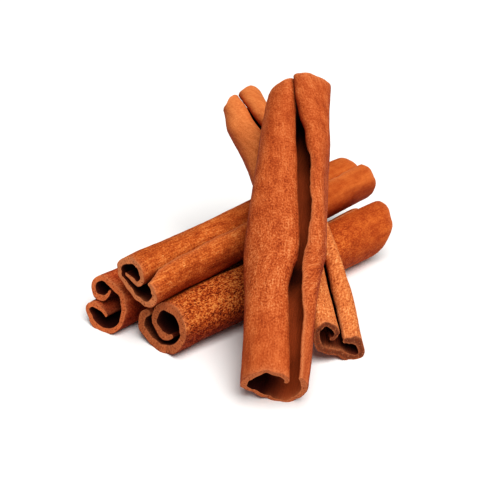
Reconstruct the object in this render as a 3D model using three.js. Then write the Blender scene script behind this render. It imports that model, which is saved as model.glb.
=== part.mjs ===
// A loose stack of five cinnamon sticks: rolled strips of bark, each a double or single scroll.
// Units are millimetres, +Z is up, and the stack stands on the plane z = 0 with the middle of its
// outline at x = y = 0. Two sticks lie on the ground side by side, one lies in the valley between
// them, and two lean across the pile with their near ends on the ground.

import * as THREE from 'three';

// ---------------------------------------------------------------------------------------------
// Driving dimensions
// ---------------------------------------------------------------------------------------------

const STATIONS = 18;        // sections along one stick
const WALL_POINTS = 28;     // points along one face of the bark wall
const TABLE = 240;          // fine steps of a section's centre line
const CURL_DENSITY = 1.5;   // mm: how strongly points gather where the bark curls tightly
const BEND_BLEND = 0.06;    // share of a section over which one arc runs into the next
const LIP_THINNING = 0.38;  // share by which the wall thins towards its long torn edge
const LIP_ZONE = 0.06;      // share of the wall width over which it thins
const LIP_TEAR = 0.01;      // mean share of the wall width torn off along each long edge
const END_TEAR = 0.35;      // mm: unevenness of the broken ends
const END_SET_BACK = 0.15;  // mm: mean depth of that unevenness

// A stick's section is a chain of arcs [radius mm, turn degrees] along the middle of the wall.
// Positive turns roll to the left. Each key is [share of the length, first heading in degrees,
// middle of the section [right, up] in mm, arcs]. near is the middle of the near end in mm, yaw
// and pitch turn the stick's length from the +Y direction. nearCut and farCut tilt the end faces,
// in mm along the stick for each mm [right, up]; farHollow rounds the far end, as mm for each
// square mm from the given offset to the right. wall is the bark's thickness in mm, and taper the
// share by which it grows from its middle to its last long edge.
const STICKS = [
  {
    name: 'stick_ground_front', colour: 0xb0622f, seed: 5, wall: 2.1, taper: 0.1,
    near: [-18.1, -38.9, 6.9], length: 73.8, yaw: -47.8, pitch: 0.7,
    nearCut: [0.1, 0.22], farCut: [0, -0.6], farHollow: [0, 0],
    keys: [
      [0, 228, [-0.57, -0.98],
        [[3.7, -243], [10.1, -28], [3.3, -70], [7.6, -46], [6.4, -38], [11.7, -29], [2.3, -136]]],
      [1, 208, [-0.33, -0.3],
        [[4.6, -94], [4.8, -149], [6.4, -82], [7.9, -32], [6.8, -36], [14.6, -22], [4.5, -140]]],
    ],
  },
  {
    name: 'stick_ground_back', colour: 0xa5522b, seed: 7, wall: 1.35, taper: 0,
    near: [-33.5, -29.0, 6.5], length: 75.3, yaw: -44.2, pitch: 0.5,
    nearCut: [0.2, 0.35], farCut: [0, 0], farHollow: [0, 0],
    keys: [
      [0, 286, [-0.42, -0.04],
        [[2.5, -300], [12.4, -24], [7.1, -57], [3.8, -51], [6.6, -90], [1.4, -140], [38.4, -8]]],
      [1, 289, [0.3, 0.8],
        [[3.6, -206], [3.3, -61], [7.4, -149], [5.5, -52], [15.6, -25], [1.3, -155], [80, -5]]],
    ],
  },
  {
    name: 'stick_in_valley', colour: 0xbd6c34, seed: 3, wall: 1.65, taper: 0,
    near: [-24.1, -36.4, 17.75], length: 85.1, yaw: -43.6, pitch: -0.5,
    nearCut: [0, 0], farCut: [-0.25, -0.1], farHollow: [0, 0],
    keys: [
      [0, 333, [-1.04, -0.48],
        [[14.5, 14], [2.7, 193], [7.2, 46], [2.5, 87], [17.5, 14], [7.6, 53], [2.9, 149]]],
      [0.05, 323, [-0.72, -0.28],
        [[6, 38], [2.7, 168], [5.3, 69], [3.1, 69], [9.5, 51], [4.9, 76], [3.6, 101]]],
      [0.12, 310, [-0.68, -0.22],
        [[3.9, 78], [2.7, 144], [5.2, 57], [3.4, 70], [7.9, 70], [5, 97], [3.4, 71]]],
      [0.25, 324, [-0.63, -0.2],
        [[5.4, 44], [2.7, 145], [4.6, 95], [3.6, 64], [8.9, 56], [4.9, 86], [3.4, 87]]],
      [1, 339, [-1.04, 0.46],
        [[6.3, 49], [1.1, 82], [4.6, 107], [3.7, 85], [8.4, 23], [13.8, 20], [5, 196]]],
    ],
  },
  {
    name: 'stick_leaning_back', colour: 0xbd6f3a, seed: 9, wall: 1.6, taper: 0.25,
    near: [23.3, -44.0, 5.9], length: 77.8, yaw: 18.8, pitch: 29.6,
    nearCut: [0, 0.5], farCut: [-0.05, 0], farHollow: [0.05, 0],
    keys: [
      [0, -30, [-0.22, -0.44],
        [[1.1, 154], [6.2, 29], [1.8, 102], [4.6, 77], [81.7, 6], [1.1, 113], [3.9, 101]]],
      [0.3, 17, [0.84, 0.4],
        [[2.4, 167], [5.5, 71], [4.1, 57], [6.2, 43], [8.5, 41], [3.3, 57], [31.7, 8], [1.1, 235]]],
      [0.72, -7, [0.95, 0.4],
        [[1.1, 56], [2.6, 155], [5.8, 82], [2.7, 63], [18.1, 25],
          [3.2, 68], [13.3, 21], [1.6, 216]]],
      [0.9, -2, [-1.15, 0.15],
        [[1.2, 92], [2.4, 88], [3.4, 98], [3.6, 66], [14.2, 28],
          [2.7, 75], [10.2, 37], [1.8, 217]]],
      [1, 2, [-1.15, -0.08],
        [[1.3, 121], [2.4, 33], [1.5, 110], [4.8, 69], [11.8, 30], [2.3, 81], [7.6, 50], [2, 214]]],
    ],
  },
  {
    name: 'stick_leaning_front', colour: 0xa04a28, seed: 11, wall: 1.4, taper: 0,
    near: [7.7, -60.6, 5.1], length: 79.0, yaw: -7.0, pitch: 37.1,
    nearCut: [0.02, 0.22], farCut: [0, 0], farHollow: [0.021, 3],
    keys: [
      [0, 29, [0.06, 0.27],
        [[1.2, 119], [10.4, 9], [5.6, 115], [2.3, 47], [19.4, 23], [3.5, 63], [7.9, 77]]],
      [0.27, -7, [-0.83, 0.32],
        [[1.8, 159], [5.3, 128], [7, 44], [5.5, 34], [13.7, 30], [4, 33], [6.7, 41], [2, 89]]],
      [0.335, -17, [-0.63, 0.49],
        [[1.5, 156], [5.8, 152], [5.1, 48], [17.2, 15], [9.9, 34], [4.8, 33], [7, 41], [2.6, 90]]],
      [0.36, -21, [-0.41, 0.63],
        [[1.5, 163], [7.1, 52], [5.9, 96], [4.4, 45], [15.2, 36], [5.7, 50], [6.7, 48], [2.4, 97]]],
      [0.41, -16, [-0.37, 0.61],
        [[1.7, 176], [13.9, 19], [5.9, 113], [4.5, 47], [16.1, 37],
          [5.9, 65], [7.2, 40], [1.6, 84]]],
      [0.69, -21, [-0.22, 0.57],
        [[1.6, 181], [7.8, 23], [5.4, 117], [4.5, 48], [22.4, 25],
          [4.2, 83], [24.5, 13], [1.1, 147]]],
      [0.79, -21, [-0.09, 0.66],
        [[1.6, 168], [4.1, 41], [5.2, 105], [4.6, 47], [13.9, 37],
          [6.5, 82], [5.6, 52], [1.4, 133]]],
      [0.87, -23, [-0.18, 0.72],
        [[1.5, 168], [4.1, 80], [5.4, 58], [4.3, 65], [25.3, 15],
          [6.2, 126], [3.8, 76], [1.4, 110]]],
      [0.93, -7, [-0.1, 0.73],
        [[1.6, 158], [3.3, 62], [5.4, 50], [4.3, 73], [12.8, 39],
          [5.8, 119], [5.7, 57], [1.1, 140]]],
      [1, 15, [0.08, 0.75],
        [[1.8, 193], [6.2, 46], [3.5, 81], [16.6, 23], [6.1, 117],
          [2.3, 39], [80.1, 4], [1.1, 180]]],
    ],
  },
];

// Long soft waves in the wall, as [height mm, waves across the wall, waves along the stick].
const WALL_WAVES = [[0.12, 2.2, 1.3], [0.08, 4.1, 2.4], [0.03, 6.3, -3.1], [0.02, 9.1, 4.7]];
// The same for its thickness, as a share of the wall.
const THICKNESS_WAVES = [[0.08, 3.3, 2.1], [0.06, 7.7, 3.2]];
// Teeth of a broken end, as [share of END_TEAR, waves across the wall].
const END_WAVES = [[0.55, 3.1], [0.35, 7.3], [0.25, 12.7]];
// Nicks of a long torn edge, as [share of LIP_TEAR, waves along the stick].
const LIP_WAVES = [[0.6, 2.3], [0.4, 5.9]];

// ---------------------------------------------------------------------------------------------
// Small helpers
// ---------------------------------------------------------------------------------------------

const TAU = Math.PI * 2;
const radians = (degrees) => degrees * Math.PI / 180;
const mix = (a, b, x) => a + (b - a) * x;

// A repeatable draw between 0 and 1 for a stick's seed and a running number.
function draw(seed, index) {
  const value = Math.sin(seed * 12.9898 + index * 78.233) * 43758.5453;
  return value - Math.floor(value);
}

// Reads a table of even steps at a place between 0 and last.
function readTable(table, place) {
  const i = Math.min(table.length - 2, Math.max(0, Math.floor(place)));
  return mix(table[i], table[i + 1], place - i);
}

// ---------------------------------------------------------------------------------------------
// Sections
// ---------------------------------------------------------------------------------------------

// The heading of the wall at each step of a chain of arcs, and the chain's length.
function headingTable(arcs, firstHeading) {
  const ends = [0];
  const turns = [0];
  for (const [radius, turn] of arcs) {
    ends.push(ends.at(-1) + radius * Math.abs(radians(turn)));
    turns.push(turns.at(-1) + radians(turn));
  }
  const length = ends.at(-1);
  const turnAt = (distance) => {
    const s = Math.min(length, Math.max(0, distance));
    let k = 1;
    while (k < ends.length - 1 && s > ends[k]) k += 1;
    return mix(turns[k - 1], turns[k], (s - ends[k - 1]) / (ends[k] - ends[k - 1]));
  };
  const heading = [];
  for (let i = 0; i < TABLE; i += 1) {
    let sum = 0;
    for (let k = -4; k <= 4; k += 1) {
      sum += turnAt(length * (i / (TABLE - 1) + BEND_BLEND * k / 8));
    }
    heading.push(sum / 9 + radians(firstHeading));
  }
  return { heading, length };
}

// The middle line of the wall at a share of the stick's length, blended between its keys.
function centreLine(keys, share) {
  let k = 0;
  while (k < keys.length - 2 && share > keys[k + 1].at) k += 1;
  const [a, b] = [keys[k], keys[k + 1]];
  const x = (share - a.at) / (b.at - a.at);
  const blend = 0.55 * x + 0.45 * x * x * (3 - 2 * x);
  const heading = a.heading.map((value, i) => mix(value, b.heading[i], blend));
  const step = mix(a.length, b.length, blend) / (TABLE - 1);
  const right = [0];
  const up = [0];
  for (let i = 1; i < TABLE; i += 1) {
    const middle = (heading[i] + heading[i - 1]) / 2;
    right.push(right[i - 1] + Math.cos(middle) * step);
    up.push(up[i - 1] + Math.sin(middle) * step);
  }
  const shiftRight = mix(a.middle[0], b.middle[0], blend) - right.reduce((s, v) => s + v) / TABLE;
  const shiftUp = mix(a.middle[1], b.middle[1], blend) - up.reduce((s, v) => s + v) / TABLE;
  return {
    heading,
    right: right.map((value) => value + shiftRight),
    up: up.map((value) => value + shiftUp),
    step,
  };
}

// Places between 0 and 1 across the wall, closer together where it curls tightly.
function wallPlaces(line, from, to) {
  const measure = [0];
  for (let i = 1; i < TABLE; i += 1) {
    const bend = Math.abs(line.heading[i] - line.heading[i - 1]) / line.step;
    measure.push(measure[i - 1] + line.step * (1 + CURL_DENSITY * bend));
  }
  const first = readTable(measure, from * (TABLE - 1));
  const last = readTable(measure, to * (TABLE - 1));
  const places = [];
  let i = 0;
  for (let j = 0; j < WALL_POINTS; j += 1) {
    const target = mix(first, last, j / (WALL_POINTS - 1));
    while (i < TABLE - 2 && measure[i + 1] < target) i += 1;
    places.push((i + (target - measure[i]) / (measure[i + 1] - measure[i])) / (TABLE - 1));
  }
  return places;
}

// The closed outline of the wall at a share of the length: its outer face, one long edge, its
// inner face and the other long edge, as [right, up, place across the wall].
function wallOutline(stick, keys, share) {
  const line = centreLine(keys, share);
  const outward = Math.sign(keys[0].turn);
  const nick = (base) => LIP_TEAR * (1 + LIP_WAVES.reduce((sum, [height, waves], i) => (
    sum + height * Math.sin(TAU * (waves * share + draw(stick.seed, base + i)))), 0));
  const places = wallPlaces(line, nick(20), 1 - nick(24));
  const outer = [];
  const inner = [];
  const edges = [];
  places.forEach((w, j) => {
    const at = w * (TABLE - 1);
    const heading = readTable(line.heading, at);
    const across = [Math.sin(heading) * outward, -Math.cos(heading) * outward];
    const wave = WALL_WAVES.reduce((sum, [height, wide, long], i) => (
      sum + height * Math.sin(TAU * (wide * w + long * share + draw(stick.seed, i)))), 0);
    const swell = THICKNESS_WAVES.reduce((sum, [height, wide, long], i) => (
      sum + height * Math.sin(TAU * (wide * w + long * share + draw(stick.seed, 8 + i)))),
    stick.taper * (2 * w - 1));
    const toEdge = Math.min(j, WALL_POINTS - 1 - j) / (WALL_POINTS - 1) / LIP_ZONE;
    const half = 0.5 * stick.wall * (1 + swell) * (1 - LIP_THINNING * Math.max(0, 1 - toEdge));
    const right = readTable(line.right, at) + across[0] * wave;
    const up = readTable(line.up, at) + across[1] * wave;
    outer.push([right + across[0] * half, up + across[1] * half, w]);
    inner.push([right - across[0] * half, up - across[1] * half, w]);
    if (j === 0 || j === WALL_POINTS - 1) {
      const way = j === 0 ? -1 : 1;
      edges.push([right + way * Math.cos(heading) * half, up + way * Math.sin(heading) * half, w]);
    }
  });
  return [...outer, edges[1], ...inner.reverse(), edges[0]];
}

// ---------------------------------------------------------------------------------------------
// Solids
// ---------------------------------------------------------------------------------------------

// One stick as a closed solid along +Y from its near end, +X to the right and +Z up.
function stickGeometry(stick) {
  const keys = stick.keys.map(([at, firstHeading, middle, arcs]) => (
    { at, middle, turn: arcs[0][1], ...headingTable(arcs, firstHeading) }));
  const teeth = (w, base) => END_SET_BACK + END_TEAR * END_WAVES.reduce((sum, [height, waves], i) => (
    sum + height * Math.sin(TAU * (waves * w + draw(stick.seed, base + i)))), 0);
  const nearDepth = ([right, up, w]) => (
    stick.nearCut[0] * right + stick.nearCut[1] * up + teeth(w, 30));
  const farDepth = ([right, up, w]) => (
    stick.farCut[0] * right + stick.farCut[1] * up + teeth(w, 34)
    + stick.farHollow[0] * (right - stick.farHollow[1]) ** 2);

  const first = wallOutline(stick, keys, 0).map(nearDepth);
  const last = wallOutline(stick, keys, 1).map(farDepth);
  const around = first.length;
  const positions = [];
  const rise = [Math.sin(radians(stick.pitch)), Math.cos(radians(stick.pitch))];
  for (let i = 0; i < STATIONS; i += 1) {
    const share = i / (STATIONS - 1);
    wallOutline(stick, keys, share).forEach(([right, up], j) => {
      const along = first[j] + share * (stick.length - last[j] - first[j]);
      // Where the bark meets the ground it is pressed into a small flat.
      const height = stick.near[2] + along * rise[0] + up * rise[1];
      positions.push(right, along, height < 0 ? up - height / rise[1] : up);
    });
  }

  const rolledLeft = keys[0].turn > 0;
  const index = [];
  const face = (a, b, c) => index.push(...(rolledLeft ? [a, b, c] : [a, c, b]));
  for (let i = 0; i < STATIONS - 1; i += 1) {
    for (let j = 0; j < around; j += 1) {
      const k = (j + 1) % around;
      const [a, b] = [i * around + j, i * around + k];
      const [c, d] = [a + around, b + around];
      face(a, d, b);
      face(a, c, d);
    }
  }
  // The two end faces: a strip between the outer and the inner edge of the wall.
  const partner = (j) => 2 * WALL_POINTS - j;
  for (const [start, near] of [[0, true], [(STATIONS - 1) * around, false]]) {
    const cap = (a, b, c) => (near ? face(start + a, start + b, start + c)
      : face(start + a, start + c, start + b));
    for (let j = 0; j < WALL_POINTS - 1; j += 1) {
      cap(j, j + 1, partner(j + 1));
      cap(j, partner(j + 1), partner(j));
    }
    cap(WALL_POINTS - 1, WALL_POINTS, WALL_POINTS + 1);
    cap(2 * WALL_POINTS + 1, 0, 2 * WALL_POINTS);
  }
  const geometry = new THREE.BufferGeometry();
  geometry.setAttribute('position', new THREE.Float32BufferAttribute(positions, 3));
  geometry.setIndex(index);
  geometry.computeVertexNormals();
  return geometry;
}

function stickMesh(stick) {
  const bark = new THREE.MeshStandardMaterial({
    color: stick.colour, roughness: 0.72, metalness: 0, flatShading: true,
  });
  const mesh = new THREE.Mesh(stickGeometry(stick), bark);
  mesh.name = stick.name;
  mesh.rotation.order = 'ZXY';
  mesh.rotation.z = radians(stick.yaw);
  mesh.rotation.x = radians(stick.pitch);
  mesh.position.set(...stick.near);
  return mesh;
}

// ---------------------------------------------------------------------------------------------
// The stack, moved so that the middle of its outline is at x = y = 0
// ---------------------------------------------------------------------------------------------

const stack = new THREE.Group();
for (const stick of STICKS) stack.add(stickMesh(stick));
stack.updateMatrixWorld(true);
const outline = new THREE.Box3().setFromObject(stack, true);
stack.position.set(
  -(outline.min.x + outline.max.x) / 2,
  -(outline.min.y + outline.max.y) / 2,
  -outline.min.z,
);

const group = new THREE.Group();
group.add(stack);

export default group;
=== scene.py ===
"""A loose stack of five cinnamon sticks on a pale table.

Each stick is one strip of bark rolled into a scroll. Its section is a chain of arcs that changes
along its length, and its surface is that section carried from the near end to the far end. Sizes
are in millimetres until a mesh is written, and a mesh is in metres.
"""

import logging
import math
from dataclasses import dataclass
from enum import Enum

import bpy
import numpy as np
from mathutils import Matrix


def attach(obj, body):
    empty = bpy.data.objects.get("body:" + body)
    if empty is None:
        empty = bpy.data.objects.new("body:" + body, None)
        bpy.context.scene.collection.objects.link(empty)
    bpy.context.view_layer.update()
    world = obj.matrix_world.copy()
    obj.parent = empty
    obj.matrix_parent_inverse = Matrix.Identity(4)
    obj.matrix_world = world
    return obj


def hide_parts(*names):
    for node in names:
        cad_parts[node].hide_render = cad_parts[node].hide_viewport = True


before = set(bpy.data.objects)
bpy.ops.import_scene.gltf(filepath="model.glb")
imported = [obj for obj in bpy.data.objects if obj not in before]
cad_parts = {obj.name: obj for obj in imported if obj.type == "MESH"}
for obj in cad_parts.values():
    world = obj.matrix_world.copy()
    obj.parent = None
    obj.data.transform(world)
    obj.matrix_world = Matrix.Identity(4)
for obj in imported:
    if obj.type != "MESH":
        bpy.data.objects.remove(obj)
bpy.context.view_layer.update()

LOG = logging.getLogger("cinnamon")

# How finely a stick is made.
STATIONS = 250  # sections along one stick
WALL_POINTS = 150  # points along one face of the bark wall
END_ROWS = 6  # strips between the outer and the inner edge of a broken end
TABLE = 240  # fine steps of a section's centre line
OPEN_STATIONS = 32  # sections at which the depth of the folds is worked out
OPEN_RAYS = 72  # rays from each point of such a section
OPEN_STEP = 3  # every such point of the section's outline sends rays
OPEN_GAP = 0.05  # mm: nearer than this nothing stops a ray
OPEN_ROUNDS = 4  # how often the depths are evened out

# The points of one outline: outer face, last long edge, inner face backwards, first long edge.
BETWEEN = END_ROWS - 1  # points round a long edge, and rows of points inside a broken end
OUTER = slice(0, WALL_POINTS)
LAST_LIP = slice(WALL_POINTS, WALL_POINTS + BETWEEN)
INNER = slice(WALL_POINTS + BETWEEN, 2 * WALL_POINTS + BETWEEN)
FIRST_LIP = slice(2 * WALL_POINTS + BETWEEN, 2 * WALL_POINTS + 2 * BETWEEN)
AROUND = 2 * WALL_POINTS + 2 * BETWEEN  # points in one outline
WALL_SIZE = STATIONS * AROUND  # points of the wall, which come before those inside the ends
SHARE = np.linspace(0, 1, STATIONS)  # each station's share of the stick's length
PARTS = np.arange(1, END_ROWS) / END_ROWS  # shares of the wall's thickness between its faces
LIP_TURNS = math.pi * np.arange(1, END_ROWS) / END_ROWS  # from the outer to the inner face

# How a stick is shaped, as in the solids.
CURL_DENSITY = 1.5  # mm: how strongly points gather where the bark curls tightly
BEND_BLEND = 0.06  # share of a section over which one arc runs into the next
LIP_THINNING = 0.38  # share by which the wall thins towards its long torn edge
LIP_ZONE = 0.06  # share of the wall width over which it thins
LIP_TEAR = 0.01  # mean share of the wall width torn off along each long edge
END_TEAR = 0.35  # mm: unevenness of the broken ends
END_SET_BACK = 0.15  # mm: mean depth of that unevenness
END_WIDTH = 60  # mm: width of the wall that the fine teeth of an end are spread over
TEETH_REACH = 1.6  # mm: how far those teeth reach along the wall
END_ROUGHNESS = 0.11  # mm: height of the lumps inside a broken end
NIBBLE = 1.6  # mm: length of the nibbles along a long edge
NIBBLE_SHARE = 0.015  # share of the wall width that a nibble takes for each mm of its height

# The height of each wave, and how many there are across the wall and along the stick.
WALL_WAVES = ((0.12, 2.2, 1.3), (0.08, 4.1, 2.4), (0.03, 6.3, -3.1), (0.02, 9.1, 4.7))
THICKNESS_WAVES = ((0.08, 3.3, 2.1), (0.06, 7.7, 3.2))
END_WAVES = ((0.55, 3.1, 0), (0.35, 7.3, 0), (0.25, 12.7, 0))
LIP_WAVES = ((0.6, 0, 2.3), (0.4, 0, 5.9))

# The numbers of each use's first draw.
WALL_DRAW, THICKNESS_DRAW, FIRST_LIP_DRAW, LAST_LIP_DRAW, NEAR_DRAW, FAR_DRAW = 0, 8, 20, 24, 30, 34

# Marks on the bark that its material reads.
RIM_REACH = 0.7  # mm: how far the light rim reaches from a broken end
RIM_STEPS = 2  # points over which it reaches from a long edge
RIM_FALL = 7  # how fast it falls across a broken end
MOUTH_LIGHT = 0.08  # how much less painted shade a fold has at its very mouth
MOUTH_REACH = 2.5  # mm: how far that light reaches in
UNDERSIDE_SHADE_SPAN = (0.6, -0.3)  # upward part of the normal where the painted underside shade begins, and is full
LIP_TORN = 0.75  # how torn the long edges are, where a broken end is 1
END_DEPTH = 1.6  # mm: depth of a broken end on its pattern
LIP_DEPTH = 0.4  # mm: how far the pattern runs on round a long edge

# The width and length in mm of what the bark's colour is made of, beside its grain.
STREAK_SIZE = (1.3, 17.0)
PATCH_SIZE = (2.0, 3.4)
BUMP_HEIGHT = 0.0004  # m: height of the grain's relief at full depth

# Where along the stick, in mm, the wear of its ends and the painted shade below it change.
FAR_WEAR = (20, 70)
NEAR_WEAR = (2, 26)
SHADE_FADE = (20, 65)

# The middle of the stack's outline, in the frame that the sticks' near ends are given in, in mm.
OUTLINE_MIDDLE = (2.0664, -16.7465)

Array = np.ndarray
Colour = tuple[float, float, float]
Pair = tuple[float, float]
Socket = bpy.types.NodeSocket


class Roll(Enum):
    """Which way the strip rolls, from its first long edge to its last, seen from the near end."""

    LEFT = 1
    RIGHT = -1


def linear(colour: Colour) -> tuple[float, float, float, float]:
    """Gives a screen colour's linear one: each c / 255 as ((c / 255 + 0.055) / 1.055)^2.4."""
    red, green, blue = (((c / 255 + 0.055) / 1.055) ** 2.4 for c in colour)
    return red, green, blue, 1.0


def draw(seed: int, index: int) -> float:
    """Gives a repeatable number from 0 to 1, the fraction of a large multiple of a sine."""
    value = math.sin(seed * 12.9898 + index * 78.233) * 43758.5453
    return value - math.floor(value)


def lattice(column: Array, row: Array, seed: int) -> Array:
    """Gives each whole-numbered place of a plane its own value from -1 to 1.

    The two numbers and the seed are multiplied by large odd numbers, mixed and folded to 32 bits.

    Args:
        column: whole numbers.
        row: whole numbers of the same shape.
        seed: picks another pattern.

    Returns:
        The values.
    """
    mixed = (column * 374761393 + row * 668265263 + seed * 974634777) & 0xFFFFFFFF
    mixed = ((mixed ^ (mixed >> 13)) * 1274126177) & 0xFFFFFFFF
    mixed = mixed ^ (mixed >> 16)
    return (mixed & 0xFFFFFF) / 0xFFFFFF * 2 - 1


def lumps(x: Array, y: Array, seed: int) -> Array:
    """Gives soft lumps one unit across: lattice values blended by the fade 6t^5 - 15t^4 + 10t^3.

    Args:
        x: places in lump widths.
        y: places in lump lengths.
        seed: picks another pattern.

    Returns:
        Heights from -1 to 1.
    """
    x, y = np.broadcast_arrays(x, y)
    left, low = np.floor(x).astype(np.int64), np.floor(y).astype(np.int64)
    across, up = (t**3 * (t * (t * 6 - 15) + 10) for t in (x - left, y - low))
    bottom = lattice(left, low, seed) * (1 - across) + lattice(left + 1, low, seed) * across
    top = lattice(left, low + 1, seed) * (1 - across) + lattice(left + 1, low + 1, seed) * across
    return bottom * (1 - up) + top * up


def layered(x: Array, y: Array, seed: int, layers: int = 3) -> Array:
    """Sums layers of lumps, each half as high and about half as wide as the one before.

    Args:
        x: places in widths of the widest lump.
        y: places in lengths of the longest lump.
        seed: picks another pattern.
        layers: how many sizes of lump there are.

    Returns:
        Heights of about -1 to 1.
    """
    total = np.zeros(np.broadcast(x, y).shape)
    for layer in range(layers):
        grow = 2.03**layer
        total += lumps(x * grow + 17.3 * layer, y * grow - 9.1 * layer, seed + layer) / 2**layer
    return total / 1.6


def read_rows(table: Array, place: Array) -> Array:
    """Reads each row of a table between its columns, by straight blending.

    Args:
        table: one row of even steps for each station.
        place: for each station, places between 0 and the last column.

    Returns:
        The values at those places.
    """
    first = np.clip(np.floor(place).astype(int), 0, table.shape[1] - 2)
    low = np.take_along_axis(table, first, 1)
    high = np.take_along_axis(table, first + 1, 1)
    return low + (high - low) * (place - first)


@dataclass(frozen=True)
class Curl:
    """How the strip is curled at one share of the stick's length.

    first_heading is in degrees, middle is the mean place of the wall, and each arc has a radius in
    mm and a turn in degrees.
    """

    at: float
    first_heading: float
    middle: Pair
    arcs: tuple[Pair, ...]

    def headings(self) -> tuple[Array, float]:
        """Gives the wall's heading along the chain of arcs.

        The heading turns evenly along each arc, and is averaged over a short window so that one
        arc runs into the next.

        Returns:
            The headings in radians at even steps, and the chain's length in mm.
        """
        radius, turn = np.array(self.arcs).T
        turn = np.radians(turn)
        ends = np.concatenate([[0], np.cumsum(radius * np.abs(turn))])
        turned = np.concatenate([[0], np.cumsum(turn)])
        window = BEND_BLEND * np.arange(-4, 5) / 8
        reach = ends[-1] * (np.linspace(0, 1, TABLE)[:, None] + window)
        return np.interp(reach, ends, turned).mean(1) + math.radians(self.first_heading), ends[-1]


@dataclass(frozen=True)
class CentreLines:
    """The middle line of the wall at every station, one row for each station."""

    heading: Array
    right: Array
    up: Array
    step: Array

    @classmethod
    def through(cls, keys: tuple[Curl, ...]) -> "CentreLines":
        """Blends the keyed sections along the stick.

        Between two keys all blends by 0.55 x + 0.45 (3 x^2 - 2 x^3). The line is the running sum
        of steps along the headings, moved so that its mean lies on the blended middle.

        Args:
            keys: the keyed sections, in order.

        Returns:
            The lines.
        """
        at = np.array([key.at for key in keys])
        turns, lengths = (np.array(part) for part in zip(*(key.headings() for key in keys)))
        middles = np.array([key.middle for key in keys])
        before = np.searchsorted(at[1:-1], SHARE, side="left")
        x = (SHARE - at[before]) / (at[before + 1] - at[before])
        blend = (0.55 * x + 0.45 * x * x * (3 - 2 * x))[:, None]
        heading, step, middle = (
            part[before] * (1 - blend) + part[before + 1] * blend
            for part in (turns, lengths[:, None], middles)
        )
        step = step / (TABLE - 1)
        between = (heading[:, 1:] + heading[:, :-1]) / 2
        start = np.zeros((STATIONS, 1))
        right = np.hstack([start, np.cumsum(np.cos(between) * step, 1)])
        up = np.hstack([start, np.cumsum(np.sin(between) * step, 1)])
        right += middle[:, :1] - right.mean(1, keepdims=True)
        up += middle[:, 1:] - up.mean(1, keepdims=True)
        return cls(heading, right, up, step)

    def places(self, first: Array, last: Array) -> Array:
        """Spreads points across the wall, closer together where it curls tightly.

        The measure between two steps is their distance times 1 + CURL_DENSITY times the bend, and
        the points are even in that measure.

        Args:
            first: for each station, the share of the wall width where the strip begins.
            last: the same where it ends.

        Returns:
            Shares of the wall width, one row for each station.
        """
        bend = np.abs(np.diff(self.heading, axis=1)) / self.step
        measure = np.cumsum(self.step * (1 + CURL_DENSITY * bend), 1)
        measure = np.hstack([np.zeros((STATIONS, 1)), measure])
        measure /= measure[:, -1:]
        low = read_rows(measure, first[:, None] * (TABLE - 1))
        high = read_rows(measure, last[:, None] * (TABLE - 1))
        wanted = low + (high - low) * np.linspace(0, 1, WALL_POINTS)
        apart = 2.0 * np.arange(STATIONS)[:, None]
        steps = np.tile(np.arange(TABLE) / (TABLE - 1), STATIONS)
        found = np.interp((wanted + apart).ravel(), (measure + apart).ravel(), steps)
        return found.reshape(wanted.shape)


@dataclass(frozen=True)
class Relief:
    """Heights in mm of what dried bark shows: wrinkles, dents, grain and torn edges."""

    wrinkle: float = 0.06
    dent: float = 0.09
    grain: float = 0.035
    end_tear: float = 0.16
    lip_tear: float = 0.30

    def outside(self, across: Array, along: Array, seed: int) -> Array:
        """Gives the height of the outer face: long wrinkles, round dents and fine grain.

        Args:
            across: distance across the wall in mm.
            along: distance along the stick in mm.
            seed: the stick's own number.

        Returns:
            Heights in mm.
        """
        wrinkles = layered(across / 1.7, along / 9, seed + 101, 2)
        dents = layered(across / 5.2, along / 7.5, seed + 131)
        grain = layered(across / 0.8, along / 1.3, seed + 151, 2)
        return self.wrinkle * wrinkles + self.dent * dents + self.grain * grain

    def inside(self, across: Array, along: Array, seed: int) -> Array:
        """Gives the height of the inner face, which has only soft long wrinkles."""
        return 0.6 * self.wrinkle * layered(across / 1.3, along / 12, seed + 171, 2)

    def end(self, across: Array, seed: int) -> Array:
        """Gives how deep the fine teeth and the bites of a broken end are, in mm."""
        bites = np.clip(lumps(across / 3.4, 0 * across + 5.5, seed + 193) - 0.25, 0, 1)
        return self.end_tear * (0.7 * layered(across / 1.5, 0 * across, seed + 191) + 1.1 * bites)


def put(name: str, data: bpy.types.ID) -> bpy.types.Object:
    """Puts a new object in the scene.

    Args:
        name: its name.
        data: its mesh, lamp or camera.

    Returns:
        The object.
    """
    thing = bpy.data.objects.new(name, data)
    bpy.context.scene.collection.objects.link(thing)
    return thing


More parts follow.
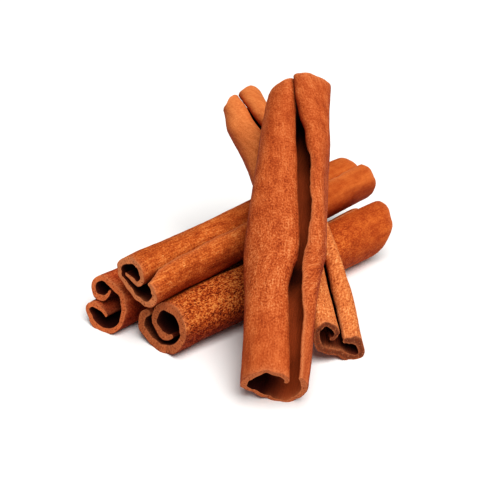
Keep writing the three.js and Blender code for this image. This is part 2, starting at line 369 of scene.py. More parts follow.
class NodeBoard:
    """Puts shader nodes on a material's board and wires them."""

    def __init__(self, material: bpy.types.Material) -> None:
        """Clears the board.

        Args:
            material: the board's material.
        """
        material.use_nodes = True
        self.nodes = material.node_tree.nodes
        self.links = material.node_tree.links
        self.nodes.clear()

    def add(self, kind: str, inputs: dict[str | int, object], **settings: object) -> bpy.types.Node:
        """Puts a node on the board.

        Args:
            kind: the node's type.
            inputs: a value, or the socket to wire in, for each input's name or number.
            **settings: its properties.

        Returns:
            The node.
        """
        node = self.nodes.new(kind)
        for name, value in settings.items():
            setattr(node, name, value)
        for name, value in inputs.items():
            if isinstance(value, Socket):
                self.links.new(value, node.inputs[name])
            else:
                node.inputs[name].default_value = value
        return node

    def attribute(self, name: str, output: str = "Fac") -> Socket:
        """Reads an attribute of the mesh, as a number or as its output "Vector"."""
        return self.add("ShaderNodeAttribute", {}, attribute_name=name).outputs[output]

    def cloud(
        self, where: Socket, size: Pair, shift: float, detail: float, rough: float,
    ) -> Socket:
        """Makes a cloud of soft spots.

        Args:
            where: the place on the bark in mm.
            size: the spots' width and length in mm.
            shift: moves the pattern.
            detail: how many finer layers there are.
            rough: how strong they are.

        Returns:
            A number of about 0.2 to 0.8.
        """
        move = self.add("ShaderNodeMapping", {
            "Vector": where, "Location": (shift, shift * 0.7, shift * 0.3),
            "Scale": (1 / size[0], 1 / size[1], 1.0),
        }, vector_type="POINT")
        noise = self.add("ShaderNodeTexNoise", {
            "Vector": move.outputs["Vector"], "Scale": 1.0, "Detail": detail, "Roughness": rough,
        }, noise_dimensions="3D")
        return noise.outputs["Fac"]

    def span(
        self, value: Socket, low: float, high: float, to_low: float = 0.0, to_high: float = 1.0,
    ) -> Socket:
        """Stretches a number from low..high to to_low..to_high, smoothly and within those ends.

        Args:
            value: the number.
            low: what becomes to_low.
            high: what becomes to_high.
            to_low: the one end.
            to_high: the other end.

        Returns:
            The new number.
        """
        return self.add("ShaderNodeMapRange", {
            "Value": value, "From Min": low, "From Max": high, "To Min": to_low, "To Max": to_high,
        }, interpolation_type="SMOOTHSTEP", clamp=True).outputs["Result"]

    def ramp(self, value: Socket, stops: tuple[tuple[float, Colour], ...]) -> Socket:
        """Runs through a row of colours as a number grows.

        Args:
            value: the number.
            stops: each number with its screen colour, in rising order.

        Returns:
            The colour's socket.
        """
        node = self.add("ShaderNodeValToRGB", {"Fac": value})
        points = node.color_ramp.elements
        while len(points) < len(stops):
            points.new(0.5)
        for point, (at, colour) in zip(points, stops):
            point.position, point.color = at, linear(colour)
        return node.outputs["Color"]

    def sum(self, first: object, second: object, times: float = 1.0) -> Socket:
        """Adds second times a number to first."""
        inputs = {0: second, 1: times, 2: first}
        return self.add("ShaderNodeMath", inputs, operation="MULTIPLY_ADD").outputs[0]

    def product(self, first: object, second: object) -> Socket:
        """Multiplies two numbers."""
        return self.add("ShaderNodeMath", {0: first, 1: second}, operation="MULTIPLY").outputs[0]

    def blend(self, share: Socket, first: object, second: object, how: str = "MIX") -> Socket:
        """Blends two colours, the second one by the share, in the way named."""
        inputs = {0: share, 6: first, 7: second}
        return self.add("ShaderNodeMix", inputs, data_type="RGBA", blend_type=how).outputs[2]

    def finish(self, inputs: dict[str, object]) -> None:
        """Ends the board with a surface that has these inputs."""
        shader = self.add("ShaderNodeBsdfPrincipled", inputs)
        self.add("ShaderNodeOutputMaterial", {"Surface": shader.outputs["BSDF"]})


@dataclass(frozen=True)
class BarkFinish:
    """The colours, grain and roughness of one stick's bark. Colours are screen colours.

    grain, fibre, streak and patch say how strongly round grains, short fibres, long streaks and
    soft patches show, inner_fibre the fibres of the inner face, and smooth_near and smooth_far how
    much of the grain is worn away at the two ends. A grain is grain_size mm wide and grain_stretch
    times as long. relief_depth is the share of BUMP_HEIGHT that it stands out. light is the colour
    of pale fibre bits and of painted glints. fold_shade is painted shade in a fold: what is left of
    red, green and blue there, fully so from the depth shut_at; shaded is painted shade on the
    underside: what is left of them there; shaded_far is how much of that painted shade there is
    at the far end.
    """

    dark: Colour
    bark: Colour
    worn: Colour
    # the palest colour: pale fibre bits and painted glints
    light: Colour
    torn: Colour
    grain: float
    fibre: float
    streak: float
    patch: float
    inner: Colour = (70, 24, 10)
    rim: Colour = (206, 128, 82)
    grain_size: float = 0.36
    grain_stretch: float = 1.25
    relief_depth: float = 0.5
    roughness: float = 0.8
    # painted shade deep in the folds: what is left of red, green and blue there
    fold_shade: Colour = (0.20, 0.08, 0.06)
    shut_from: float = 0.35
    shut_at: float = 1.0
    # painted shade on the underside: what is left of red, green and blue there
    shaded: Colour = (0.60, 0.38, 0.32)
    shaded_far: float = 1.0
    smooth_near: float = 0.0
    smooth_far: float = 0.2
    inner_fibre: float = 0.5

    def material(self, name: str, seed: int) -> bpy.types.Material:
        """Makes the bark: grains, fibres, streaks and patches from dark hollows to light tips.

        The inner face, the broken ends and the thin rim beside them have colours of their own. The
        light tips and light specks are pale fibre bits and painted glints, and painted shade makes
        everything deep in a fold, and the underside, darker and redder.

        Args:
            name: the material's name.
            seed: moves the patterns, so that no two sticks are alike.

        Returns:
            The material.
        """
        material = bpy.data.materials.new(name)
        board = NodeBoard(material)
        where = board.attribute("bark_place", "Vector")
        along = board.add("ShaderNodeSeparateXYZ", {0: where}).outputs["Y"]
        shift = 37.0 * seed
        size = self.grain_size
        grain = board.cloud(where, (size, size * self.grain_stretch), shift + 23, 2.0, 0.5)
        fibre = board.cloud(where, (size * 0.5, size * 6), shift + 31, 2.0, 0.55)
        streak = board.cloud(where, STREAK_SIZE, shift, 3.0, 0.55)
        patch = board.cloud(where, PATCH_SIZE, shift + 11, 3.0, 0.6)
        speck = board.cloud(where, (size * 0.8, size * 1.6), shift + 47, 1.0, 0.5)

        kept = board.product(
            board.span(along, *FAR_WEAR, 1.0, 1 - self.smooth_far),
            board.span(along, *NEAR_WEAR, 1 - self.smooth_near, 1.0),
        )
        fine = board.sum(-0.5 * (self.grain + self.fibre), board.product(grain, self.grain))
        fine = board.sum(fine, fibre, self.fibre)
        broad = board.sum(-0.5 * (self.streak + self.patch), board.product(streak, self.streak))
        broad = board.sum(broad, patch, self.patch)
        broad = board.product(broad, board.sum(0.5, kept, 0.5))
        tone = board.sum(board.product(fine, kept), broad)
        # The palest tone is pale fibre and painted glint.
        colour = board.ramp(board.sum(0.5, tone, 2.2), (
            (0.0, self.dark), (0.42, self.bark), (0.66, self.worn), (1.0, self.light),
        ))
        # The light specks are pale fibre bits and painted glints.
        for edges, shares, shade in (
            ((0.64, 0.74), (0.4, 0.62, 0.0, 0.8), self.light),
            ((0.36, 0.26), (0.62, 0.4, 0.1, 0.8), self.dark),
        ):
            specks = board.product(board.span(speck, *edges), board.span(patch, *shares))
            colour = board.blend(board.product(specks, kept), colour, linear(shade))
        fibres = board.span(fibre, 0.35, 0.65, 0.0, self.inner_fibre)
        inner = board.blend(fibres, linear(self.inner), linear(self.dark))
        colour = board.blend(board.attribute("inside"), colour, inner)
        broken = board.ramp(board.sum(grain, board.sum(-0.5, speck), 0.7), (
            (0.2, self.dark), (0.44, self.torn), (0.62, self.torn), (0.9, self.rim),
        ))
        colour = board.blend(board.attribute("torn"), colour, broken)
        rim = board.product(board.attribute("rim"), board.span(grain, 0.3, 0.62, 0.3, 0.75))
        colour = board.blend(rim, colour, linear(self.rim))
        # Painted shade: darker and redder deep in the folds, and on the underside.
        deep = board.span(board.attribute("fold_shade"), self.shut_from, self.shut_at)
        fading = board.span(along, *SHADE_FADE, 1.0, self.shaded_far)
        shade = board.product(board.attribute("underside_shade"), fading)
        for share, tint in ((deep, self.fold_shade), (shade, self.shaded)):
            colour = board.blend(share, colour, (*tint, 1.0), "MULTIPLY")

        height = board.sum(board.sum(board.sum(grain, fibre, 0.7), patch, 0.8), streak, 0.5)
        bump = board.add("ShaderNodeBump", {
            "Strength": self.relief_depth, "Distance": BUMP_HEIGHT,
            "Height": board.product(height, kept),
        })
        rough = board.span(grain, 0.3, 0.7, self.roughness + 0.08, self.roughness - 0.08)
        board.finish({
            "Base Color": colour, "Roughness": rough, "Normal": bump.outputs["Normal"],
            "Specular IOR Level": 0.12,
        })
        return material


@dataclass
class CinnamonStick:
    """One strip of bark rolled into a scroll, from its near end to its far end.

    near is the middle of the near end, and yaw and pitch turn the length from the +Y direction.
    near_cut and far_cut tilt the end faces, in mm along the stick for each mm to the right and
    up. far_hollow rounds the far end, in mm for each square mm from an offset to the right.
    taper is the share by which the wall grows thicker from its middle to its last long edge.
    """

    name: str
    node: str
    slot: str
    seed: int
    roll: Roll
    wall: float
    near: tuple[float, float, float]
    length: float
    yaw: float
    pitch: float
    keys: tuple[Curl, ...]
    finish: BarkFinish
    near_cut: Pair = (0.0, 0.0)
    far_cut: Pair = (0.0, 0.0)
    far_hollow: Pair = (0.0, 0.0)
    relief: Relief = Relief()
    taper: float = 0.0

    def waves(self, specs: tuple, base: int, wide: Array, long: Array) -> Array:
        """Sums sine waves across and along the wall, each with its own drawn phase.

        Args:
            specs: the height, the waves across and the waves along of each.
            base: the number of the first draw.
            wide: share of the wall width.
            long: share of the stick's length.

        Returns:
            The sum.
        """
        total = np.zeros(np.broadcast(wide, long).shape)
        for index, (height, across, along) in enumerate(specs):
            phase = draw(self.seed, base + index)
            total += height * np.sin(2 * math.pi * (across * wide + along * long + phase))
        return total

    def torn_edge(self, base: int) -> Array:
        """Gives the share of the wall width torn off along one long edge at each station.

        Args:
            base: the number of the edge's first draw.

        Returns:
            The shares torn off.
        """
        bends = self.waves(LIP_WAVES, base, SHARE * 0, SHARE)
        nibbles = layered(SHARE * self.length / NIBBLE, 0 * SHARE, self.seed + base)
        return LIP_TEAR * (1 + bends) + self.relief.lip_tear * NIBBLE_SHARE * nibbles

    def build(self) -> bpy.types.Object:
        """Carries the outlines along the stick and writes its closed mesh.

        Returns:
            The mesh object, with its place in its mesh.
        """
        ring = self.outlines()
        level = self.levels(ring)
        grid = self.placed(ring.right, level, ring.up)
        ends = np.stack([self.end_rows(grid[0], self.seed), self.end_rows(grid[-1], self.seed + 3)])
        strip = StripMesh(grid, ends, ring.place, level, ring.openness(), self.roll)
        return strip.make(self.name)

    def outlines(self) -> "Ring":
        """Works out the closed outline of the wall at each station.

        The middle line is moved along its normal by waves, and the two faces lie half the wall's
        thickness on each side of it, plus their relief.

        Returns:
            The outlines.
        """
        lines = CentreLines.through(self.keys)
        wide = lines.places(self.torn_edge(FIRST_LIP_DRAW), 1 - self.torn_edge(LAST_LIP_DRAW))
        spot = wide * (TABLE - 1)
        heading = read_rows(lines.heading, spot)
        normal = np.stack([np.sin(heading), -np.cos(heading)]) * self.roll.value
        tangent = np.stack([np.cos(heading), np.sin(heading)])
        long = SHARE[:, None]
        middle = np.stack([read_rows(lines.right, spot), read_rows(lines.up, spot)])
        middle += normal * self.waves(WALL_WAVES, WALL_DRAW, wide, long)

        row = np.arange(WALL_POINTS)
        to_edge = np.minimum(row, row[::-1]) / (WALL_POINTS - 1) / LIP_ZONE
        swell = self.waves(THICKNESS_WAVES, THICKNESS_DRAW, wide, long)
        swell += self.taper * (2 * wide - 1)
        half = 0.5 * self.wall * (1 + swell) * (1 - LIP_THINNING * np.clip(1 - to_edge, 0, 1))
        across, along = wide * lines.step * (TABLE - 1), long * self.length
        ease = np.clip(to_edge, 0, 1)
        outward = half + ease * self.relief.outside(across, along, self.seed)
        inward = half + ease * self.relief.inside(across, along, self.seed)

        def lip(column: int, way: int) -> Array:
            """Rounds a long edge by half a circle: the normal's cosine plus the strip's sine."""
            out = normal[:, :, column, None] * np.cos(LIP_TURNS)
            on = way * tangent[:, :, column, None] * np.sin(LIP_TURNS)
            return middle[:, :, column, None] + half[:, column, None] * (out + on)

        right, up = np.concatenate([
            middle + normal * outward, lip(WALL_POINTS - 1, 1),
            (middle - normal * inward)[:, :, ::-1], lip(0, -1)[:, :, ::-1],
        ], axis=2)
        first, last, flat = wide[:, :1], wide[:, -1:], np.ones(BETWEEN)
        width, gap = lines.step * (TABLE - 1), 2 * self.wall
        far_side, part = 2 * width + gap, gap * LIP_TURNS / math.pi
        return Ring(
            right, up, np.hstack([wide, last * flat, wide[:, ::-1], first * flat]),
            np.hstack([
                across, last * width + part, far_side - across[:, ::-1],
                far_side - first * width + part,
            ]),
        )

    def levels(self, ring: "Ring") -> Array:
        """Spreads the stations between the two uneven ends.

        An end lies back from a square cut by its tilt and its waves, the far end by its hollow
        too, and the fine teeth fade by the exponential of minus the distance over TEETH_REACH.

        Args:
            ring: the outlines of all stations.

        Returns:
            For each station the distance of each outline point along the stick in mm.
        """
        near, far = (
            cut[0] * ring.right[index] + cut[1] * ring.up[index] + END_SET_BACK
            + END_TEAR * self.waves(END_WAVES, base, ring.wide[index], ring.wide[index] * 0)
            for index, cut, base in ((0, self.near_cut, NEAR_DRAW), (-1, self.far_cut, FAR_DRAW))
        )
        far += self.far_hollow[0] * (ring.right[-1] - self.far_hollow[1]) ** 2
        level = near + SHARE[:, None] * (self.length - far - near)
        for index, way, shift in ((0, 1, 0), (-1, -1, 7)):
            distance = np.abs(SHARE - SHARE[index])[:, None] * self.length
            teeth = self.relief.end(ring.wide[index] * END_WIDTH, self.seed + shift)
            level += way * teeth * np.exp(-distance / TEETH_REACH)
        return level

    def end_rows(self, edge: Array, seed: int) -> Array:
        """Gives the rows of points across the thickness of a broken end.

        Each row lies between the outer and the inner edge, moved along the stick by fine lumps.

        Args:
            edge: the outline's points at that end.
            seed: picks the end.

        Returns:
            Points by row, place across the wall and axis.
        """
        outer, inner = edge[OUTER], edge[INNER][::-1]
        points = outer + (inner - outer) * PARTS[:, None, None]
        column = np.arange(WALL_POINTS)
        rough = layered(column / 2.6, PARTS[:, None] * 3.1, seed + 211, 2) * END_ROUGHNESS
        return points + rough[:, :, None] * self.axis()

    def axis(self) -> Array:
        """Gives the direction of the stick's length.

        Returns:
            The direction, one unit long.
        """
        yaw, pitch = math.radians(self.yaw), math.radians(self.pitch)
        flat = math.cos(pitch)
        return np.array([-math.sin(yaw) * flat, math.cos(yaw) * flat, math.sin(pitch)])

    def placed(self, right: Array, level: Array, up: Array) -> Array:
        """Puts points of the stick's own frame in the stack, pressed flat where they meet z = 0.

        Args:
            right: mm to the right.
            level: mm along the stick.
            up: mm up, square to the length.

        Returns:
            Points in the stack, in mm.
        """
        yaw, pitch = math.radians(self.yaw), math.radians(self.pitch)
        height = self.near[2] + level * math.sin(pitch) + up * math.cos(pitch)
        up = np.where(height < 0, up - height / math.cos(pitch), up)
        sideways = np.array([math.cos(yaw), math.sin(yaw), 0])
        upright = np.cross(sideways, self.axis())
        start = np.array(self.near) - np.array([*OUTLINE_MIDDLE, 0])
        return (
            start + right[..., None] * sideways + level[..., None] * self.axis()
            + up[..., None] * upright
        )

    def dress(self, stick: bpy.types.Object) -> None:
        """Gives a stick its bark and its place in the frame.

        Args:
            stick: the built stick.
        """
        stick.data.materials.append(self.finish.material(self.slot, self.seed))
        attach(stick, "root")
        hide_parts(self.node)


@dataclass(frozen=True)
class Ring:
    """The closed outline of the wall at every station.

    It runs along the outer face, round the last long edge, back along the inner face and round
    the first long edge. wide is the share of the wall width, and place is the distance in mm
    round the outline.
    """

    right: Array
    up: Array
    wide: Array
    place: Array

    def openness(self) -> Array:
        """Gives how open the outline is at each of its points, 0 in a closed hollow and 1 outside.

        From some points of some stations, rays leave in even directions across the section. A
        ray is stopped where the outline crosses its line ahead of the point. The openness is
        twice the share of rays that leave, and at most 1, evened out by giving each point half of
        its own and a quarter of each neighbour's.

        Returns:
            The openness of every station's outline.
        """
        chosen = np.linspace(0, STATIONS - 1, OPEN_STATIONS).round().astype(int)
        column = np.arange(0, AROUND, OPEN_STEP)
        right, up = self.right[chosen][:, column], self.up[chosen][:, column]
        free = np.zeros(right.shape)
        for angle in np.arange(OPEN_RAYS) * 2 * math.pi / OPEN_RAYS:
            ahead = right * math.cos(angle) + up * math.sin(angle)
            aside = up * math.cos(angle) - right * math.sin(angle)
            next_ahead, next_aside = np.roll(ahead, -1, 1), np.roll(aside, -1, 1)
            below = aside[:, None, :] <= aside[:, :, None]
            crosses = below != (next_aside[:, None, :] <= aside[:, :, None])
            slope = (next_ahead - ahead) / (next_aside - aside + 1e-9)
            at = ahead[:, None, :] + slope[:, None, :] * (aside[:, :, None] - aside[:, None, :])
            stopped = (crosses & (at > ahead[:, :, None] + OPEN_GAP)).any(2)
            free += ~stopped
        free = np.clip(2 * free / OPEN_RAYS, 0, 1)
        for _ in range(OPEN_ROUNDS):
            free = free / 2 + (np.roll(free, 1, 1) + np.roll(free, -1, 1)) / 4
        whole = np.array([np.interp(np.arange(AROUND), column, row) for row in free])
        return read_rows(whole.T, np.tile(SHARE * (OPEN_STATIONS - 1), (AROUND, 1))).T


@dataclass(frozen=True)
class StripMesh:
    """The grid of a rolled strip and the rows of its two broken ends, as one closed mesh.

    Each corner of a face has four marks: the place on the bark in mm across and along, the number
    0 for the wall or 3 or 5 for an end, and how torn it is.
    """

    grid: Array
    ends: Array
    place: Array
    level: Array
    openness: Array
    roll: Roll

    def make(self, name: str) -> bpy.types.Object:
        """Writes the mesh and its marks: bark_place, torn, inside, rim, fold_shade and
        underside_shade.

        Args:
            name: the object's name.

        Returns:
            The object.
        """
        points = np.concatenate([self.grid.reshape(-1, 3), self.ends.reshape(-1, 3)])
        spots = np.zeros((len(points), 4))
        closing, corners = (
            np.concatenate(both) for both in zip(*(self.end_faces(end, spots) for end in (0, 1)))
        )
        quads, marks = self.side_faces()
        quads, marks = np.concatenate([quads, closing]), np.concatenate([marks, spots[closing]])
        way = self.roll.value
        faces = [*quads[:, ::way].tolist(), *corners[:, ::way].tolist()]
        marks = np.concatenate([
            group[:, ::way].reshape(-1, 4) for group in (marks, spots[corners])
        ]).astype(np.float32)

        mesh = bpy.data.meshes.new(name)
        mesh.from_pydata((points / 1000).astype(np.float32), [], faces, shade_flat=False)
        self.mark_end_edges(mesh)
        at_points = self.point_marks(mesh).items()
        for label, kind, domain, values in (
            ("bark_place", "FLOAT_VECTOR", "CORNER", marks[:, :3]),
            ("torn", "FLOAT", "CORNER", marks[:, 3]),
            *((label, "FLOAT", "POINT", values) for label, values in at_points),
        ):
            mesh.attributes.new(label, kind, domain).data.foreach_set(
                "vector" if kind == "FLOAT_VECTOR" else "value",
                values.astype(np.float32).ravel(),
            )
        mesh.validate()
        return put(name, mesh)

    def side_faces(self) -> tuple[Array, Array]:
        """Joins each station's outline to the next one's.

        Returns:
            The faces, and the marks of their corners.
        """
        torn = np.zeros(AROUND)
        torn[LAST_LIP] = torn[FIRST_LIP] = LIP_TORN
        closing = self.place[:, -1:] + (self.place[:, -1:] - self.place[:, -2:-1])
        marks = np.stack([
            np.hstack([self.place, closing]), np.hstack([self.level, self.level[:, :1]]),
            np.zeros((STATIONS, AROUND + 1)), np.tile(np.append(torn, torn[0]), (STATIONS, 1)),
        ], -1)
        station, column = np.mgrid[0 : STATIONS - 1, 0:AROUND]
        around = ((0, 0), (1, 0), (1, 1), (0, 1))
        faces = [(station + down) * AROUND + (column + over) % AROUND for down, over in around]
        corners = [marks[station + down, column + over] for down, over in around]
        return np.stack(faces, -1).reshape(-1, 4), np.stack(corners, 2).reshape(-1, 4, 4)

    def end_faces(self, end: int, spots: Array) -> tuple[Array, Array]:
        """Closes one broken end across the thickness of the wall.

        Args:
            end: 0 for the near end and 1 for the far end.
            spots: the marks of each point, which are filled in for those of this end.

        Returns:
            The four-sided faces and the three-sided faces.
        """
        rim = (WALL_SIZE - AROUND) * end + np.arange(AROUND)
        made = np.arange(BETWEEN * WALL_POINTS).reshape(BETWEEN, WALL_POINTS)
        made += WALL_SIZE + end * made.size
        rows = np.vstack([rim[OUTER], made, rim[INNER][::-1]])
        last_lip, first_lip = rim[LAST_LIP], rim[FIRST_LIP][::-1]
        across_wall = [rows[:-1, :-1], rows[:-1, 1:], rows[1:, 1:], rows[1:, :-1]]
        quads = np.concatenate([
            np.stack(across_wall, -1).reshape(-1, 4),
            np.stack([rows[1:-2, -1], last_lip[:-1], last_lip[1:], rows[2:-1, -1]], -1),
            np.stack([first_lip[:-1], rows[1:-2, 0], rows[2:-1, 0], first_lip[1:]], -1),
        ])
        corners = np.array([
            [rows[0, -1], last_lip[0], rows[1, -1]], [rows[-2, -1], last_lip[-1], rows[-1, -1]],
            [first_lip[0], rows[0, 0], rows[1, 0]], [first_lip[-1], rows[-2, 0], rows[-1, 0]],
        ])
        across = self.place[0, OUTER]
        depth = np.linspace(0, END_DEPTH, END_ROWS + 1)[:, None]
        for points, x, y in (
            (rows, across, depth), (last_lip, across[-1] + LIP_DEPTH, depth[1:-1, 0]),
            (first_lip, across[0] - LIP_DEPTH, depth[1:-1, 0]),
        ):
            spots[points, 0], spots[points, 1] = x, y
            spots[points, 2:] = 3 + 2 * end, 1
        way = -1 if end else 1
        return quads[:, ::way], corners[:, ::way]

    def point_marks(self, mesh: bpy.types.Mesh) -> dict[str, Array]:
        """Works out what the bark reads at each point of the mesh.

        inside is 1 on the inner face and a half on the long edges. rim is the exponential of
        minus the distance from a broken end over RIM_REACH or, if less, the steps from a long
        edge over RIM_STEPS, or within an end RIM_FALL times the share of the wall from its nearer
        face. fold_shade, the painted shade of the folds, is 1 minus the square root of the
        openness, less by MOUTH_LIGHT times the exponential of minus the distance from an end over
        MOUTH_REACH. underside_shade, the painted shade of the underside, grows smoothly to 1 as the
        upward part of the outer face's normal falls through UNDERSIDE_SHADE_SPAN. All else is 0.

        Args:
            mesh: the written mesh.

        Returns:
            The numbers of each mark, by its name.
        """
        row = np.arange(AROUND)
        edge = np.minimum(np.minimum(np.abs(row - WALL_POINTS), AROUND - row), row)
        to_end = np.minimum(self.level - self.level[:1], self.level[-1:] - self.level)
        # the painted fold shade is lighter near the broken ends
        lit = MOUTH_LIGHT * np.exp(-to_end / MOUTH_REACH)
        # painted underside shade, from the upward part of each point's normal
        normals = np.empty(len(mesh.vertices) * 3, np.float32)
        mesh.vertices.foreach_get("normal", normals)
        upward = normals[2::3][:WALL_SIZE].reshape(STATIONS, AROUND)
        down = np.clip((UNDERSIDE_SHADE_SPAN[0] - upward) / (UNDERSIDE_SHADE_SPAN[0] - UNDERSIDE_SHADE_SPAN[1]), 0, 1)
        down = down * down * (3 - 2 * down)
        down[:, WALL_POINTS:] = 0
        faces = np.repeat([0, 0.5, 1, 0.5], [WALL_POINTS, BETWEEN, WALL_POINTS, BETWEEN])
        within = np.exp(-RIM_FALL * np.minimum(PARTS, 1 - PARTS)).repeat(WALL_POINTS)
        none = np.zeros(2 * len(within))
        rim = np.exp(-np.minimum(to_end / RIM_REACH, edge / RIM_STEPS))
        return {
            "inside": np.append(np.tile(faces, STATIONS), none),
            "rim": np.append(rim, np.tile(within, 2)),
            "fold_shade": np.append((1 - np.sqrt(self.openness)) * (1 - lit), none),
            "underside_shade": np.append(down, none),
        }

    def mark_end_edges(self, mesh: bpy.types.Mesh) -> None:
        """Keeps the edges between the wall and the two broken ends sharp.

        Args:
            mesh: the written mesh.
        """
        pairs = np.empty(len(mesh.edges) * 2, np.int32)
        mesh.edges.foreach_get("vertices", pairs)
        low, high = np.sort(pairs.reshape(-1, 2), 1).T
        neighbours = np.isin(high - low, (1, AROUND - 1))
        ends = (high < AROUND) | ((low >= WALL_SIZE - AROUND) & (high < WALL_SIZE))
        mesh.attributes.new("sharp_edge", "BOOLEAN", "EDGE").data.foreach_set(
            "value", neighbours & ends)


@dataclass
class Studio:
    """The pale table, the soft light and the camera. Sizes are in metres, angles in degrees."""

    table_size: float = 8.0
    table_colour: Colour = (250, 249, 247)
    camera_distance: float = 0.240
    camera_tilt: float = 27.5
    camera_target_height: float = 0.010
    camera_lens: float = 64.8
    sky: float = 0.2
    key_power: float = 2.9
    key_width: float = 45.0
    key_tilt: float = 29.0
    key_turn: float = 24.0

    def build(self) -> None:
        """Makes the table, the light and the camera."""
        self.build_table()
        self.build_light()
        self.build_camera()
        view = bpy.context.scene.view_settings
        view.view_transform, view.look = "Standard", "Medium High Contrast"

    def build_table(self) -> None:
        """Makes the table top at z = 0."""
        reach = self.table_size / 2
        corners = [(-reach, -reach, 0), (reach, -reach, 0), (reach, reach, 0), (-reach, reach, 0)]
        mesh = bpy.data.meshes.new("table")
        mesh.from_pydata(corners, [], [(0, 1, 2, 3)])
        material = bpy.data.materials.new("table_top")
        colour = linear(self.table_colour)
        NodeBoard(material).finish(
            {"Base Color": colour, "Roughness": 0.9, "Specular IOR Level": 0.1}
        )
        mesh.materials.append(material)
        put("table", mesh)

    def build_light(self) -> None:
        """Makes an even sky and one soft light from above."""
        world = bpy.data.worlds.new("studio")
        world.use_nodes = True
        sky = world.node_tree.nodes["Background"]
        sky.inputs["Color"].default_value = (1.0, 1.0, 1.0, 1.0)
        sky.inputs["Strength"].default_value = self.sky
        bpy.context.scene.world = world
        lamp = bpy.data.lights.new("soft_light", "SUN")
        lamp.energy = self.key_power
        lamp.angle = math.radians(self.key_width)
        holder = put("soft_light", lamp)
        holder.location = (0.0, 0.0, 1.0)
        holder.rotation_euler = (math.radians(self.key_tilt), 0, math.radians(self.key_turn))

    def build_camera(self) -> None:
        """Makes the camera, which looks along +Y and down at the stack."""
        tilt = math.radians(self.camera_tilt)
        camera = put("camera", bpy.data.cameras.new("camera"))
        camera.data.sensor_width = 36.0
        camera.data.lens = self.camera_lens
        camera.location = (
            -OUTLINE_MIDDLE[0] / 1000,
            -self.camera_distance * math.cos(tilt) - OUTLINE_MIDDLE[1] / 1000,
            self.camera_target_height + self.camera_distance * math.sin(tilt),
        )
        camera.rotation_euler = (math.pi / 2 - tilt, 0, 0)
        camera.data.clip_start = 0.01
        bpy.context.scene.camera = camera


# The thick stick on the ground in front.
GROUND_FRONT = CinnamonStick(
    name="bark_roll_ground_front", node="stick_ground_front", slot="bark_ground_front",
    seed=5, roll=Roll.RIGHT, wall=2.1, taper=0.1, near=(-18.1, -38.9, 6.9), length=73.8,
    yaw=-47.8, pitch=0.7, near_cut=(0.1, 0.22), far_cut=(0.0, -0.6),
    keys=(
        Curl(0, 228, (-0.57, -0.98), (
            (3.7, -243), (10.1, -28), (3.3, -70), (7.6, -46), (6.4, -38), (11.7, -29),
            (2.3, -136))),
        Curl(1, 208, (-0.33, -0.3), (
            (4.6, -94), (4.8, -149), (6.4, -82), (7.9, -32), (6.8, -36), (14.6, -22), (4.5, -140))),
    ),
    finish=BarkFinish(
        dark=(90, 26, 7), bark=(168, 72, 26), worn=(202, 105, 44), light=(224, 146, 78),
        torn=(182, 100, 58), grain=1.4, fibre=0.5, streak=0.3, patch=0.4, grain_size=0.27,
        grain_stretch=1.9, relief_depth=0.9, smooth_near=0.2, smooth_far=0.85,
        # painted underside shade, weaker at the far end
        shaded=(0.50, 0.26, 0.22), shaded_far=0.4,
    ),
    relief=Relief(wrinkle=0.05, dent=0.08, grain=0.06),
)

# The smooth double scroll on the ground at the back.
GROUND_BACK = CinnamonStick(
    name="bark_roll_ground_back", node="stick_ground_back", slot="bark_ground_back",
    seed=7, roll=Roll.RIGHT, wall=1.35, near=(-33.5, -29.0, 6.5), length=75.3,
    yaw=-44.2, pitch=0.5, near_cut=(0.2, 0.35),
    keys=(
        Curl(0, 286, (-0.42, -0.04), (
            (2.5, -300), (12.4, -24), (7.1, -57), (3.8, -51), (6.6, -90), (1.4, -140), (38.4, -8))),
        Curl(1, 289, (0.30, 0.80), (
            (3.6, -206), (3.3, -61), (7.4, -149), (5.5, -52), (15.6, -25), (1.3, -155), (80, -5))),
    ),
    finish=BarkFinish(
        dark=(104, 32, 12), bark=(158, 60, 26), worn=(186, 86, 42), light=(214, 124, 74),
        torn=(198, 105, 59), grain=0.5, fibre=0.4, streak=0.3, patch=0.3,
    ),
)

# The double scroll that lies on the two ground sticks.
IN_VALLEY = CinnamonStick(
    name="bark_roll_in_valley", node="stick_in_valley", slot="bark_in_valley",
    seed=3, roll=Roll.LEFT, wall=1.65, near=(-24.1, -36.4, 17.75), length=85.1,
    yaw=-43.6, pitch=-0.5, far_cut=(-0.25, -0.1),
    keys=(
        Curl(0, 333, (-1.04, -0.48), (
            (14.5, 14), (2.7, 193), (7.2, 46), (2.5, 87), (17.5, 14), (7.6, 53), (2.9, 149))),
        Curl(0.05, 323, (-0.72, -0.28), (
            (6.0, 38), (2.7, 168), (5.3, 69), (3.1, 69), (9.5, 51), (4.9, 76), (3.6, 101))),
        Curl(0.12, 310, (-0.68, -0.22), (
            (3.9, 78), (2.7, 144), (5.2, 57), (3.4, 70), (7.9, 70), (5.0, 97), (3.4, 71))),
        Curl(0.25, 324, (-0.63, -0.20), (
            (5.4, 44), (2.7, 145), (4.6, 95), (3.6, 64), (8.9, 56), (4.9, 86), (3.4, 87))),
        Curl(1, 339, (-1.04, 0.46), (
            (6.3, 49), (1.1, 82), (4.6, 107), (3.7, 85), (8.4, 23), (13.8, 20), (5.0, 196))),
    ),
    finish=BarkFinish(
        dark=(118, 40, 12), bark=(178, 83, 32), worn=(212, 117, 54), light=(238, 165, 99),
        torn=(206, 126, 80), grain=0.4, fibre=0.35, streak=0.3, patch=0.28, smooth_far=0.85,
    ),
)

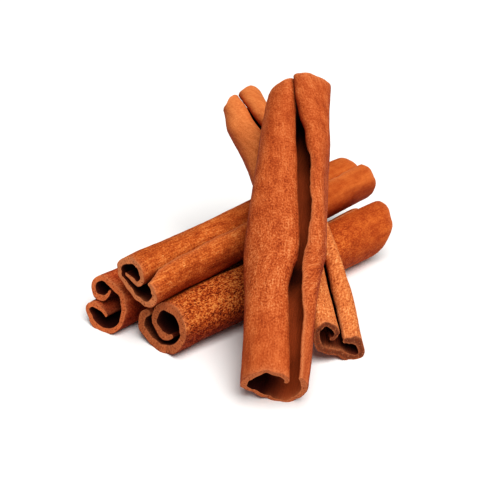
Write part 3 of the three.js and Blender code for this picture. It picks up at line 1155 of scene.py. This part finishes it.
# The pale stick that leans on the valley stick.
LEANING_BACK = CinnamonStick(
    name="bark_roll_leaning_back", node="stick_leaning_back", slot="bark_leaning_back",
    seed=9, roll=Roll.LEFT, wall=1.6, taper=0.25, near=(23.3, -44.0, 5.9), length=77.8,
    yaw=18.8, pitch=29.6, near_cut=(0.0, 0.5), far_cut=(-0.05, 0.0), far_hollow=(0.05, 0.0),
    keys=(
        Curl(0, -30, (-0.22, -0.44), (
            (1.1, 154), (6.2, 29), (1.8, 102), (4.6, 77), (81.7, 6), (1.1, 113), (3.9, 101))),
        Curl(0.30, 17, (0.84, 0.40), (
            (2.4, 167), (5.5, 71), (4.1, 57), (6.2, 43), (8.5, 41), (3.3, 57), (31.7, 8),
            (1.1, 235))),
        Curl(0.72, -7, (0.95, 0.40), (
            (1.1, 56), (2.6, 155), (5.8, 82), (2.7, 63), (18.1, 25), (3.2, 68), (13.3, 21),
            (1.6, 216))),
        Curl(0.9, -2, (-1.15, 0.15), (
            (1.2, 92), (2.4, 88), (3.4, 98), (3.6, 66), (14.2, 28), (2.7, 75), (10.2, 37),
            (1.8, 217))),
        Curl(1, 2, (-1.15, -0.08), (
            (1.3, 121), (2.4, 33), (1.5, 110), (4.8, 69), (11.8, 30), (2.3, 81), (7.6, 50),
            (2.0, 214))),
    ),
    finish=BarkFinish(
        dark=(150, 66, 29), bark=(203, 114, 60), worn=(223, 135, 76), light=(248, 180, 120),
        torn=(108, 53, 31), grain=0.7, fibre=0.4, streak=0.25, patch=0.25, smooth_far=0.7,
    ),
)

# The long red stick that leans across the whole stack.
LEANING_FRONT = CinnamonStick(
    name="bark_roll_leaning_front", node="stick_leaning_front", slot="bark_leaning_front",
    seed=11, roll=Roll.LEFT, wall=1.4, near=(7.7, -60.6, 5.1), length=79.0,
    yaw=-7.0, pitch=37.1, near_cut=(0.02, 0.22), far_hollow=(0.021, 3),
    keys=(
        Curl(0, 29, (0.06, 0.27), (
            (1.2, 119), (10.4, 9), (5.6, 115), (2.3, 47), (19.4, 23), (3.5, 63), (7.9, 77))),
        Curl(0.27, -7, (-0.83, 0.32), (
            (1.8, 159), (5.3, 128), (7.0, 44), (5.5, 34), (13.7, 30), (4.0, 33), (6.7, 41),
            (2.0, 89))),
        Curl(0.335, -17, (-0.63, 0.49), (
            (1.5, 156), (5.8, 152), (5.1, 48), (17.2, 15), (9.9, 34), (4.8, 33), (7.0, 41),
            (2.6, 90))),
        Curl(0.36, -21, (-0.41, 0.63), (
            (1.5, 163), (7.1, 52), (5.9, 96), (4.4, 45), (15.2, 36), (5.7, 50), (6.7, 48),
            (2.4, 97))),
        Curl(0.41, -16, (-0.37, 0.61), (
            (1.7, 176), (13.9, 19), (5.9, 113), (4.5, 47), (16.1, 37), (5.9, 65), (7.2, 40),
            (1.6, 84))),
        Curl(0.69, -21, (-0.22, 0.57), (
            (1.6, 181), (7.8, 23), (5.4, 117), (4.5, 48), (22.4, 25), (4.2, 83), (24.5, 13),
            (1.1, 147))),
        Curl(0.79, -21, (-0.09, 0.66), (
            (1.6, 168), (4.1, 41), (5.2, 105), (4.6, 47), (13.9, 37), (6.5, 82), (5.6, 52),
            (1.4, 133))),
        Curl(0.87, -23, (-0.18, 0.72), (
            (1.5, 168), (4.1, 80), (5.4, 58), (4.3, 65), (25.3, 15), (6.2, 126), (3.8, 76),
            (1.4, 110))),
        Curl(0.93, -7, (-0.10, 0.73), (
            (1.6, 158), (3.3, 62), (5.4, 50), (4.3, 73), (12.8, 39), (5.8, 119), (5.7, 57),
            (1.1, 140))),
        Curl(1, 15, (0.08, 0.75), (
            (1.8, 193), (6.2, 46), (3.5, 81), (16.6, 23), (6.1, 117), (2.3, 39), (80.1, 4),
            (1.1, 180))),
    ),
    finish=BarkFinish(
        dark=(116, 38, 14), bark=(177, 82, 37), worn=(203, 108, 57), light=(224, 145, 92),
        inner=(192, 89, 43), torn=(186, 104, 62), shut_from=0.62, shut_at=0.86,
        # painted shade: very dark deep in the folds, and on the underside
        fold_shade=(0.06, 0.02, 0.02), shaded=(0.58, 0.30, 0.24), inner_fibre=0.25, grain=0.7,
        fibre=0.35, streak=0.2, patch=0.38, smooth_near=0.6, smooth_far=0.45,
    ),
)


def main() -> None:
    """Builds the studio and the stack."""
    logging.basicConfig(level=logging.INFO, format="%(name)s %(message)s")
    Studio().build()
    LOG.info("studio: table, light and camera")
    for stick in (GROUND_FRONT, GROUND_BACK, IN_VALLEY, LEANING_BACK, LEANING_FRONT):
        piece = stick.build()
        stick.dress(piece)
        LOG.info("%s: %d faces", piece.name, len(piece.data.polygons))


if __name__ == "__main__":
    main()
